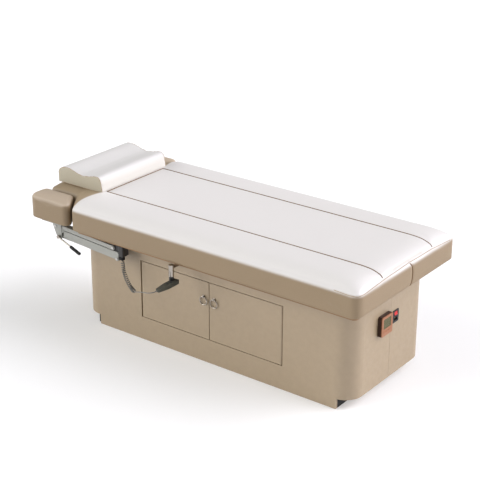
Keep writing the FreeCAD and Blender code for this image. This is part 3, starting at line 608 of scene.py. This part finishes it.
def dense(points):
    """Points of a polyline, evenly filled in."""
    filled = [Vector(points[0])]
    for a, b in zip(points, points[1:]):
        a, b = Vector(a), Vector(b)
        steps = max(1, round((b - a).length / SEAM_STEP))
        filled += [a.lerp(b, i / steps) for i in range(1, steps + 1)]
    return filled


def relaxed(points, rounds=6):
    """The same polyline with its corners eased."""
    for _ in range(rounds):
        inner = [(a + b * 2 + c) / 4 for a, b, c in zip(points, points[1:], points[2:])]
        points = [points[0]] + inner + [points[-1]]
    return points


def groove(piece, seams, depth, width):
    """Sinks the cover along its seams."""
    tree = tree_of([p for seam in seams for p in seam])
    points = coordinates(piece.data)
    normals = normals_of(piece.data)
    gap = np.array([tree.find(p)[2] for p in points])
    sink = depth * np.exp(-(gap / width) ** 2)
    set_coordinates(piece.data, points - normals * sink[:, None])


def seam_tube(name, piece, seams, radius, lift, body, slot, thread="seam_thread"):
    """Raised seam lines that lie on a cover."""
    surface = surface_of(piece)
    curve = bpy.data.curves.new(name, "CURVE")
    curve.dimensions = "3D"
    curve.bevel_depth = 1.0
    curve.bevel_resolution = SEAM_ROUNDNESS
    curve.use_fill_caps = True
    for seam in seams:
        found = [surface.find_nearest(p) for p in seam]
        line = curve.splines.new("POLY")
        line.points.add(len(found) - 1)
        for knot, (place, normal, _, _) in zip(line.points, found):
            knot.co = (*(place + normal * lift), 1.0)
            knot.radius = radius
        line.use_smooth = True
    tube = bpy.data.objects.new(name, curve)
    bpy.context.collection.objects.link(tube)
    finish_with(tube, thread)
    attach(tube, body)
    return tube


# ---------------------------------------------------------------- mattress
MATTRESS_VOXEL = 9 * MM
MATTRESS_SWELL = 4 * MM
LONG_SEAM_POINTS = 240
CROSS_SEAM_POINTS = 90
FAR = 9.0
# depth and width of a groove, then radius and lift of the thread that lies in it
PANEL_GROOVE = (2.2 * MM, 8 * MM)
PANEL_THREAD = (2.1 * MM, 0.5 * MM)
EDGE_GROOVE = (1.0 * MM, 5 * MM)
EDGE_THREAD = (1.3 * MM, 0.3 * MM)
EDGE_SEAM = [
    (FOOT_X - 0.120, -HALF_WIDTH, 0.606), (FOOT_X - 0.045, -HALF_WIDTH, 0.601),
    (FOOT_X - 0.008, -HALF_WIDTH + 0.010, 0.600), (FOOT_X, -HALF_WIDTH + 0.050, 0.602),
    (FOOT_X, -0.200, 0.612), (FOOT_X, 0.0, 0.619), (FOOT_X, 0.200, 0.614),
    (FOOT_X, HALF_WIDTH - 0.050, 0.602),
]
UPRIGHT_SEAM = [
    (FOOT_X, 0.008, 0.612), (FOOT_X, 0.020, 0.590), (FOOT_X, 0.026, 0.560),
    (FOOT_X, 0.022, 0.525), (FOOT_X, 0.014, MATTRESS_LOW[2] + 4 * MM),
]


def crown(depth):
    """Rise of a filled edge, from 0 at the edge to 1 well inside."""
    return 1 - (1 - np.clip(depth / CROWN_REACH, 0, 1)) ** CROWN_POWER


def side_depth(x, y):
    """Distance of plan points from the nearest long side, shoulder, notch or head side."""
    corners = np.array([(FOOT_X, HALF_WIDTH), (SHOULDER_X, HALF_WIDTH), (NOTCH_X, HEAD_HALF),
                        (HEAD_X, HEAD_HALF)])
    points = np.stack([x, np.abs(y)], 1)
    nearest = np.full(len(x), FAR)
    for a, b in zip(corners, corners[1:]):
        run = b - a
        share = np.clip(((points - a) @ run) / (run @ run), 0, 1)
        gap = np.linalg.norm(points - (a + share[:, None] * run), axis=1)
        nearest = np.minimum(nearest, gap)
    return nearest


def mattress_top(x, y):
    """Height of the filled top at plan points."""
    side = side_depth(x, y)
    end = np.minimum(FOOT_X - x, x - HEAD_X)
    filled = crown(end)
    middle = 1 - (1 - np.clip(side / HALF_WIDTH, 0, 1)) ** 2
    return EDGE_TOP + (1 - filled) * FOOT_RISE * middle + filled * CROWN_RISE * crown(side)


def rolled(points):
    """Draws the upper part of the long walls and the foot wall inwards, as a soft edge."""
    rise = np.clip((points[:, 2] - (EDGE_TOP - ROLL)) / ROLL, 0, 1)
    draw = ROLL * ROLL_DRAW * (1 - np.sqrt(1 - rise ** 2))
    moved = points.copy()
    for axis, edge in ((1, HALF_WIDTH), (1, -HALF_WIDTH), (0, FOOT_X)):
        near = np.clip(1 - np.abs(points[:, axis] - edge) / (ROLL_REACH * ROLL), 0, 1)
        moved[:, axis] -= math.copysign(1, edge) * draw * near
    return moved


def panel_seams():
    """Two long seams and the cross seam between them."""
    seams = []
    for side in (-1, 1):
        xs = np.linspace(CROSS_SEAM_X, FOOT_X - 2 * MM, LONG_SEAM_POINTS)
        ys = np.full(len(xs), side * LONG_SEAM_Y)
        seams.append([Vector(p) for p in zip(xs, ys, mattress_top(xs, ys))])
    ys = np.linspace(-LONG_SEAM_Y, LONG_SEAM_Y, CROSS_SEAM_POINTS)
    xs = np.full(len(ys), CROSS_SEAM_X)
    seams.append([Vector(p) for p in zip(xs, ys, mattress_top(xs, ys))])
    return seams


def mattress():
    piece = soft_copy("mattress_cover", "mattress", MATTRESS_VOXEL)
    points = coordinates(piece.data)
    base = MATTRESS_LOW[2]
    share = (points[:, 2] - base) / (MATTRESS_HIGH[2] - base)
    points[:, 2] = base + share * (mattress_top(points[:, 0], points[:, 1]) - base)
    set_coordinates(piece.data, rolled(points))
    panels = panel_seams()
    puff(piece, sharp_edge_points("mattress") + [p for seam in panels for p in seam], MATTRESS_SWELL)
    refine(piece)
    dark = panels + [relaxed(dense(UPRIGHT_SEAM))]
    pale = [relaxed(dense(EDGE_SEAM))]
    groove(piece, dark, *PANEL_GROOVE)
    groove(piece, pale, *EDGE_GROOVE)
    finish_with(piece, "upholstery")
    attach(piece, "top")
    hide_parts("mattress")
    seam_tube("mattress_seams", piece, dark, *PANEL_THREAD, "top", "upholstery")
    seam_tube("mattress_edge_seam", piece, pale, *EDGE_THREAD, "top", "upholstery", "seam_pale")


# ---------------------------------------------------------------- pillow and armrest pads
PILLOW_VOXEL = 5 * MM
PILLOW_SWELL = 5 * MM
PILLOW_THREAD = (1.2 * MM, 0.2 * MM)
PILLOW_FLATNESS = 3
SAME_POINT = 0.1 * MM
PAD_VOXEL = 4.5 * MM
PAD_SWELL = 3 * MM
PAD_DOME_REACH = 0.030
PAD_DOME_RISE = 9 * MM


def kept_above(piece, floor):
    """Presses a cover's underside flat on the level that it lies on."""
    points = coordinates(piece.data)
    points[:, 2] = np.maximum(points[:, 2], floor)
    set_coordinates(piece.data, points)


def end_outlines(node):
    """Closed line round each end face of a flat solid drawn along Y."""
    mesh = frame["nodes"][node].data
    points = coordinates(mesh)
    outlines = []
    for edge in (points[:, 1].min(), points[:, 1].max()):
        face = points[np.abs(points[:, 1] - edge) < MERGE_REACH]
        middle = (face.min(axis=0) + face.max(axis=0)) / 2
        angle = np.arctan2(face[:, 2] - middle[2], (face[:, 0] - middle[0]) / PILLOW_FLATNESS)
        ring = face[np.argsort(angle)]
        kept = [ring[0]]
        kept += [b for a, b in zip(ring, ring[1:]) if np.linalg.norm(b - a) > SAME_POINT]
        outlines.append(relaxed(dense(kept + [kept[0]]), rounds=3))
    return outlines


def pillow():
    piece = soft_copy("pillow_cover", "pillow", PILLOW_VOXEL)
    puff(piece, sharp_edge_points("pillow"), PILLOW_SWELL)
    kept_above(piece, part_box("pillow")[0][2])
    refine(piece)
    finish_with(piece, "pillow_cover")
    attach(piece, "pillow")
    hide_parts("pillow")
    seam_tube("pillow_seams", piece, end_outlines("pillow"), *PILLOW_THREAD, "pillow", "pillow_cover",
              "seam_pale")


def armrest_pad(side):
    node = "armrest_pad_" + side
    piece = soft_copy("armrest_cover_" + side, node, PAD_VOXEL)
    low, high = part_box(node)
    points = coordinates(piece.data)
    share = (points[:, 2] - low[2]) / (high[2] - low[2])
    dome = np.ones(len(points))
    for axis in (0, 1):
        for edge in (low[axis], high[axis]):
            dome *= 1 - np.exp(-np.abs(points[:, axis] - edge) / PAD_DOME_REACH)
    points[:, 2] += share * PAD_DOME_RISE * dome
    set_coordinates(piece.data, points)
    puff(piece, sharp_edge_points(node), PAD_SWELL)
    kept_above(piece, low[2])
    refine(piece)
    finish_with(piece, "armrest_cover")
    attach(piece, "armrest_" + side)
    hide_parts(node)


mattress()
pillow()
for hand in ("left", "right"):
    armrest_pad(hand)


# ---------------------------------------------------------------- studio
WHITE = (1.0, 1.0, 1.0, 1.0)
SKY = 0.22
# direction that the light travels, share of full daylight, soft angle in degrees, colour
LIGHTS = {
    "overhead": ((-0.10, 0.15, -1.0), 0.10, 70, (1.0, 1.0, 1.0)),
    "side_left": ((0.65, 0.68, -0.34), 0.88, 50, (1.0, 1.0, 1.0)),
    "side_right": ((-0.71, -0.58, -0.40), 1.55, 70, (1.0, 0.985, 1.05)),
}
FLOOR_GLOW = 0.26
FLOOR_REACH = 45.0
FLOOR_TONES = ((0.74, 0.74, 0.74, 1.0), (0.76, 0.76, 0.76, 1.0))


def soft_sun(name, direction, share, angle, tint):
    data = bpy.data.lights.new(name, "SUN")
    data.energy = share * math.pi
    data.angle = math.radians(angle)
    data.color = tint
    light = bpy.data.objects.new(name, data)
    bpy.context.collection.objects.link(light)
    light.rotation_euler = Vector(direction).to_track_quat("-Z", "Y").to_euler()


def pale_floor():
    corners = [(x * FLOOR_REACH, y * FLOOR_REACH, 0) for x, y in ((-1, -1), (1, -1), (1, 1), (-1, 1))]
    mesh = bpy.data.meshes.new("floor")
    mesh.from_pydata(corners, [], [(0, 1, 2, 3)])
    floor = bpy.data.objects.new("floor", mesh)
    bpy.context.collection.objects.link(floor)
    nodes = Nodes("floor")
    tone = nodes.mix(nodes.noise(2.0), *FLOOR_TONES)
    nodes.shader.inputs["Emission Color"].default_value = WHITE
    nodes.shader.inputs["Emission Strength"].default_value = FLOOR_GLOW
    mesh.materials.append(nodes.finish(tone, nodes.band(nodes.noise(30.0), 0.7, 0.8), specular=0.1))


def studio():
    world = bpy.data.worlds.new("studio")
    world.use_nodes = True
    background = world.node_tree.nodes["Background"]
    background.inputs["Color"].default_value = WHITE
    background.inputs["Strength"].default_value = SKY
    bpy.context.scene.world = world
    bpy.context.scene.view_settings.view_transform = "Standard"
    for name, settings in LIGHTS.items():
        soft_sun(name, *settings)
    pale_floor()


studio()


bpy.context.view_layer.update()
